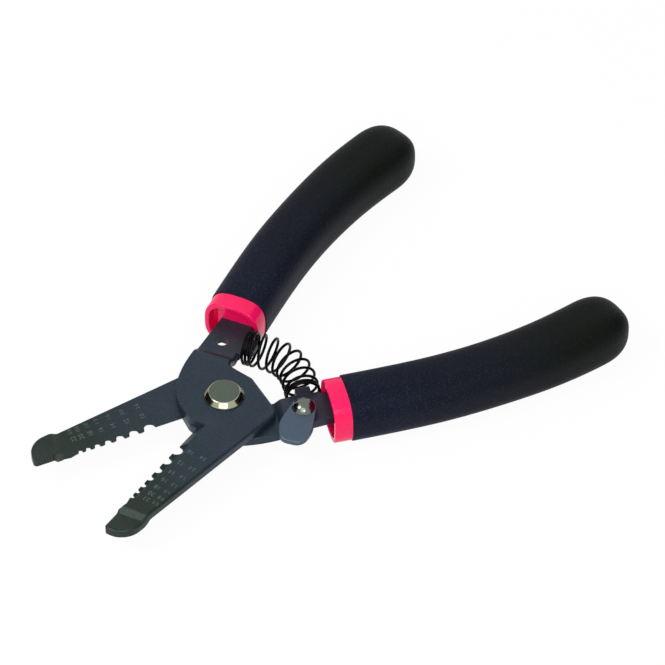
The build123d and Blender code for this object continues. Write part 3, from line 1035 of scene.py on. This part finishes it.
@dataclass
class Handles(Assembly):
    """Outer grips and the inner sleeves whose collars show.

    Lengths along the line start at the collar's rim. The lip is the rounded edge of the grip, the
    mouth is the part of the sleeve's inside that the collar's ring covers.
    """

    half_width: float = 8.2
    half_thick: float = 7.64
    tip_air: float = 0.12
    power: float = 2.9
    dome: float = 11.5
    dome_power: float = 2.5
    collar: float = 4.8
    inset: float = 0.3
    lip_wall: float = 1.3
    lip: float = 0.35
    lip_depth: float = 3.0
    lip_step: float = 0.55
    skin_gap: float = 0.02
    mouth: float = 3.7
    mouth_draft: float = 0.03
    mouth_wall: float = 0.6
    rim_air: float = 0.12
    skin_share: float = 0.9
    collar_air: float = 0.1
    swell: float = 0.55
    swell_thick: float = 0.6
    swell_from: float = 0.45
    edge: float = 0.35

    LINE = np.array(
        [
            (14.3, 23.4),
            (15.5, 30.0),
            (17.2, 40.0),
            (18.9, 52.0),
            (19.8, 64.0),
            (19.95, 73.0),
            (19.6, 83.0),
            (18.5, 93.0),
            (16.8, 103.0),
            (15.7, 109.2),
        ]
    )

    def skin(self, at: Array, grow: Array, shrink: Array, count: int = 96) -> Array:
        """Rings of the grip at distances along its centre line.

        A ring is a rounded square, width times sine to a power and thickness times cosine to the
        same power, across the line's direction. It swells a little towards the handle's end.
        """
        line = partial(natural_spline, self.LINE)
        u, length = along_length(line, at)
        spot = line(u)
        ahead = line(np.minimum(u + 1e-3, 1)) - line(np.maximum(u - 1e-3, 0))
        ahead /= np.linalg.norm(ahead, axis=1)[:, None]
        side = np.stack([ahead[:, 1], -ahead[:, 0]], -1)
        part = np.clip((at / length - self.swell_from) / self.swell_from, 0, 1)
        swell = self.swell * part * part * (3 - 2 * part)
        a = (self.half_width + swell + grow) * shrink
        b = (self.half_thick + self.swell_thick * swell + grow) * shrink
        t = np.linspace(0, 2 * math.pi, count, endpoint=False)
        e = 2 / self.power
        c, s = np.cos(t), np.sin(t)
        wide = np.sign(s) * np.abs(s) ** e
        tall = np.sign(c) * np.abs(c) ** e
        flat = spot[:, None] + side[:, None] * (a[:, None] * wide)[..., None]
        return np.concatenate([flat, (b[:, None] * tall)[..., None]], -1)

    def grip_points(self) -> tuple[Array, list[list[int]]]:
        """Outer skin from the lip at the collar to the rounded end.

        The lip turns inwards along a quarter circle and runs a little way down the inside.
        """
        _, length = along_length(partial(natural_spline, self.LINE), np.zeros(1))
        straight = length - self.dome
        q = np.linspace(0, math.pi / 2, 6)
        lip_at = self.collar + self.lip * (1 - np.cos(q))
        lip_grow = -self.lip * (1 - np.sin(q))
        body = np.linspace(self.collar + self.lip, straight, 90)[1:]
        k = np.sin(np.linspace(0, math.pi / 2, 28))[1:-1]
        end = straight + (self.dome - self.tip_air) * k
        at = np.r_[[self.collar + self.lip_depth], lip_at, body, end]
        grow = np.r_[[-self.lip_step], lip_grow, np.zeros(len(body) + len(k))]
        round_end = (1 - k**self.dome_power) ** (1 / self.dome_power)
        shrink = np.r_[np.ones(1 + len(q) + len(body)), round_end]
        rings = self.skin(at, grow - self.skin_gap, shrink)
        count = rings.shape[1]
        points = rings.reshape(-1, 3)
        faces = grid_faces(len(at), count, True).tolist()
        tip = self.skin(np.array([length - self.tip_air]), np.zeros(1), np.array([1e-4])).mean(1)
        last = len(points) - count
        faces += [[last + j, last + (j + 1) % count, len(points)] for j in range(count)]
        return np.concatenate([points, tip]), faces

    def collar_ring(self) -> tuple[Array, list[list[int]]]:
        """Rounded collar from its joint with the grip, over the rim and down the mouth.

        The profile gives distances along the grip's line and growths of its section. Its rim
        corners are rounded, and it closes inside the wall.
        """
        outer, inner = -self.inset, -self.inset - self.lip_wall
        joint, core = self.collar - self.skin_gap, inner + self.mouth_wall
        profile = rounded(
            [
                (joint, outer, 0),
                (0.0, outer, self.edge),
                (0.0, inner, self.edge),
                (self.mouth, inner - self.mouth_draft, 0),
                (self.mouth, core, 0),
                (joint, core, 0),
                (joint, outer, 0),
            ],
            8,
        )
        rings = self.skin(profile[:, 0], profile[:, 1], np.ones(len(profile)))
        return rings.reshape(-1, 3), grid_faces(len(profile), rings.shape[1], True).tolist()

    def outside(self, plan: Array, corners: Array) -> Array:
        """Tells which triangles of the sleeve the rounded ring stands for.

        Those are the ones that touch the rim's plane, and those whose corners all lie on the
        collar's skin, where the two offsets from the line, each over its half size and raised to
        the section's power, add up to nearly one.

        Args:
            plan: The sleeve's corner points in the closed plan, in millimetres.
            corners: Corner numbers of its triangles.

        Returns:
            One truth value for each triangle.
        """
        ahead = natural_spline(self.LINE, np.array([0.0, 1e-3]))
        ahead = (ahead[1] - ahead[0]) / np.linalg.norm(ahead[1] - ahead[0])
        away = plan[:, :2] - self.LINE[0]
        deep = away @ ahead
        wide = np.abs(away @ np.array([ahead[1], -ahead[0]])) / self.half_width
        tall = np.abs(plan[:, 2]) / self.half_thick
        reach = (wide**self.power + tall**self.power) ** (1 / self.power)
        on_skin = (reach > self.skin_share) & (deep < self.collar + self.collar_air)
        return (deep < self.rim_air)[corners].any(1) | on_skin[corners].all(1)

    def collar_piece(self, word: str, pose: Array) -> bpy.types.Object:
        """Joins the rounded ring to the web, pocket and hidden core of the sleeve.

        Args:
            word: Which half, as the nodes' names start.
            pose: Matrix from the closed plan to the half's place.

        Returns:
            The collar's object.
        """
        mesh = self.frame["nodes"][word + "_sleeve"].data
        mesh.calc_loop_triangles()
        spots = column(mesh.vertices, "co", 3) / MM
        corners = column(mesh.loop_triangles, "vertices", 3, int)
        kept = corners[~self.outside(moved(spots, np.linalg.inv(pose)), corners)]
        used, number = np.unique(kept, return_inverse=True)
        points, faces = self.collar_ring()
        ring = (np.array(faces) + len(used)).tolist()
        together = np.concatenate([spots[used], moved(points, pose)])
        return build(word + "_collar", together, number.reshape(-1, 3).tolist() + ring, EDGE_TURN)

    def make(self) -> None:
        """Builds both grips and rounds the rims of both collars."""
        points, faces = self.grip_points()
        for side, turned in ((Side.REAR, False), (Side.FRONT, True)):
            word = side.value.split("_")[0]
            pose = half_frame(side, turned)
            grip = build(word + "_cushion", moved(points, pose), faces, 60.0)
            self.dress(grip, Finish.GRIP, side.value, word + "_grip")
            collar = self.collar_piece(word, pose)
            self.dress(collar, Finish.COLLAR, side.value, word + "_sleeve")


@dataclass
class Studio:
    """Floor, world, lamps and camera."""

    lens: float = 252.70
    azimuth: float = 49.7801718
    elevation: float = 46.01646388
    distance: float = 1227.60686441
    pan_x: float = -28.42703114
    pan_y: float = -18.44828409
    nudge: tuple[float, float, float] = (-0.05, 0.05, 0.0)
    ambient: float = 0.48
    floor_glow: float = 0.95
    card_turn: float = 101.0
    card_away: float = 600.0
    card_width: float = 800.0
    card_low: float = 10.0
    card_high: float = 560.0
    card_colour: Colour = (0.01, 0.01, 0.012)
    floor_half: float = 2500.0

    LAMPS = (
        ("key", (0.60, -0.67, 0.95), 0.9, 5.5),
        ("spark", (0.85, -0.55, 0.90), 0.12, 2.2),
        ("fill", (-0.3, -0.68, 0.94), 0.45, 5.0),
    )

    def camera(self) -> None:
        """Sets the camera that the photograph's view was worked out with."""
        a, e = math.radians(self.azimuth), math.radians(self.elevation)
        back = np.array([math.sin(a) * math.cos(e), -math.cos(a) * math.cos(e), math.sin(e)])
        right = np.array([math.cos(a), math.sin(a), 0.0])
        up = np.cross(back, right)
        eye = self.distance * back - self.pan_x * right - self.pan_y * up
        eye = (eye - np.array(self.nudge) + PIVOT) * MM
        data = bpy.data.cameras.new("photo_view")
        data.sensor_width = 36.0
        data.lens = self.lens
        data.clip_start = 0.01
        data.clip_end = 20.0
        made = bpy.data.objects.new("photo_view", data)
        turn = np.eye(4)
        turn[:3, 0], turn[:3, 1], turn[:3, 2], turn[:3, 3] = right, up, back, eye
        made.matrix_world = Matrix(turn.tolist())
        bpy.context.scene.collection.objects.link(made)
        bpy.context.scene.camera = made

    def world(self) -> None:
        """White behind the object, for the camera and for reflections, and softer as a light."""
        world = bpy.data.worlds.new("studio")
        world.use_nodes = True
        tree = world.node_tree
        tree.nodes.clear()
        out = tree.nodes.new("ShaderNodeOutputWorld")
        path = tree.nodes.new("ShaderNodeLightPath")
        seen = path.outputs["Is Camera Ray"]
        for ray in ("Is Glossy Ray", "Is Transmission Ray"):
            either = tree.nodes.new("ShaderNodeMath")
            either.operation = "MAXIMUM"
            tree.links.new(seen, either.inputs[0])
            tree.links.new(path.outputs[ray], either.inputs[1])
            seen = either.outputs[0]
        level = tree.nodes.new("ShaderNodeMapRange")
        level.inputs["To Min"].default_value = self.ambient
        level.inputs["To Max"].default_value = 1.0
        tree.links.new(seen, level.inputs["Value"])
        shade = tree.nodes.new("ShaderNodeBackground")
        shade.inputs["Color"].default_value = (1.0, 1.0, 1.0, 1.0)
        tree.links.new(level.outputs[0], shade.inputs["Strength"])
        tree.links.new(shade.outputs[0], out.inputs["Surface"])
        bpy.context.scene.world = world

    @staticmethod
    def sheet(name: str, points: Array, look: bpy.types.Material) -> bpy.types.Object:
        """Adds one rectangle from its four corners in millimetres."""
        mesh = bpy.data.meshes.new(name)
        mesh.from_pydata((points * MM).tolist(), [], [[0, 1, 2, 3]])
        mesh.materials.append(look)
        piece = bpy.data.objects.new(name, mesh)
        bpy.context.scene.collection.objects.link(piece)
        return piece

    def card(self, name: str, side: float) -> None:
        """Stands a dark card beside the object that only polished metal shows.

        Args:
            name: Name of the card.
            side: 1 to the camera's right, -1 to its left.
        """
        a = math.radians(self.azimuth + side * self.card_turn)
        out = np.array([math.sin(a), -math.cos(a), 0.0])
        along = np.array([math.cos(a), math.sin(a), 0.0]) * self.card_width / 2
        rise = np.array([0.0, 0.0, self.card_high])
        foot = out * self.card_away + np.array([0.0, 0.0, self.card_low])
        points = np.array([foot - along, foot + along, foot + along + rise, foot - along + rise])
        s = Shader(name)
        dark = s.surface(Base_Color=self.card_colour, Roughness=1.0, Specular_IOR_Level=0.0)
        piece = self.sheet(name, points, dark)
        piece.visible_camera = piece.visible_diffuse = piece.visible_shadow = False

    def floor(self) -> None:
        """Pale floor that keeps a faint shadow."""
        size = self.floor_half
        points = np.array([(-size, -size, 0), (size, -size, 0), (size, size, 0), (-size, size, 0)])
        s = Shader("pale_floor")
        path = s.node("ShaderNodeLightPath", output="Is Camera Ray")
        glossy = s.node("ShaderNodeLightPath", output="Is Glossy Ray")
        through = s.node("ShaderNodeLightPath", output="Is Transmission Ray")
        diffuse = s.node("ShaderNodeBsdfDiffuse", inputs={"Color": (0.97, 0.97, 0.97)})
        glow = s.node("ShaderNodeEmission", inputs={"Color": (1.0, 1.0, 1.0), "Strength": 1.0})
        share = (path + glossy + through) * self.floor_glow
        both = s.node("ShaderNodeMixShader", inputs={0: share, 1: diffuse, 2: glow})
        s.tree.links.new(both.socket, s.output.inputs["Surface"])
        self.sheet("floor", points, s.material)

    @staticmethod
    def lamp(name: str, place: Sequence[float], size: float, power: float) -> None:
        """Adds a square soft lamp that looks at the middle of the floor.

        Args:
            name: Name of the lamp.
            place: Where it stands, in metres.
            size: Length of its sides in metres.
            power: Its power in watts.
        """
        data = bpy.data.lights.new(name, "AREA")
        data.size = size
        data.energy = power
        made = bpy.data.objects.new(name, data)
        spot = Vector(place)
        made.location = spot
        made.rotation_mode = "QUATERNION"
        made.rotation_quaternion = (-spot).to_track_quat("-Z", "Y")
        bpy.context.scene.collection.objects.link(made)

    def make(self) -> None:
        """Sets up everything round the object."""
        scene = bpy.context.scene
        scene.view_settings.view_transform = "Standard"
        self.camera()
        self.world()
        self.floor()
        self.card("left_card", -1.0)
        self.card("right_card", 1.0)
        for lamp in self.LAMPS:
            self.lamp(*lamp)


def main() -> None:
    """Builds the dressed tool round the frame and notes its size."""
    logging.basicConfig(level=logging.INFO, format="%(name)s: %(message)s")
    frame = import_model()
    looks = {
        Finish.STEEL: BlackenedSteel().material(),
        # digits painted lighter than the plates: painted highlight for the light their raised faces
        # catch
        Finish.NUMBER: BlackenedSteel(
            name="coined_number",
            head=srgb(94, 106, 116),
            jaw=srgb(90, 106, 98),
            nose=srgb(86, 100, 88),
            tang=srgb(86, 80, 90),
        ).material(),
        Finish.CAP: TurnedCap(flat_z=(float(PIVOT[2]) + CAP_FLAT) * MM).material(),
        Finish.NICKEL: PlatedMetal().material(),
        Finish.WIRE: OiledWire().material(),
        Finish.LEVER: SatinSteel().material(),
        Finish.COLLAR: GlossyPlastic().material(),
        Finish.GRIP: GripRubber().material(),
    }
    Studio().make()
    for assembly in (Stampings, Pivot, Lock, ReturnSpring, Handles):
        assembly(frame, looks).make()


if __name__ == "__main__":
    main()
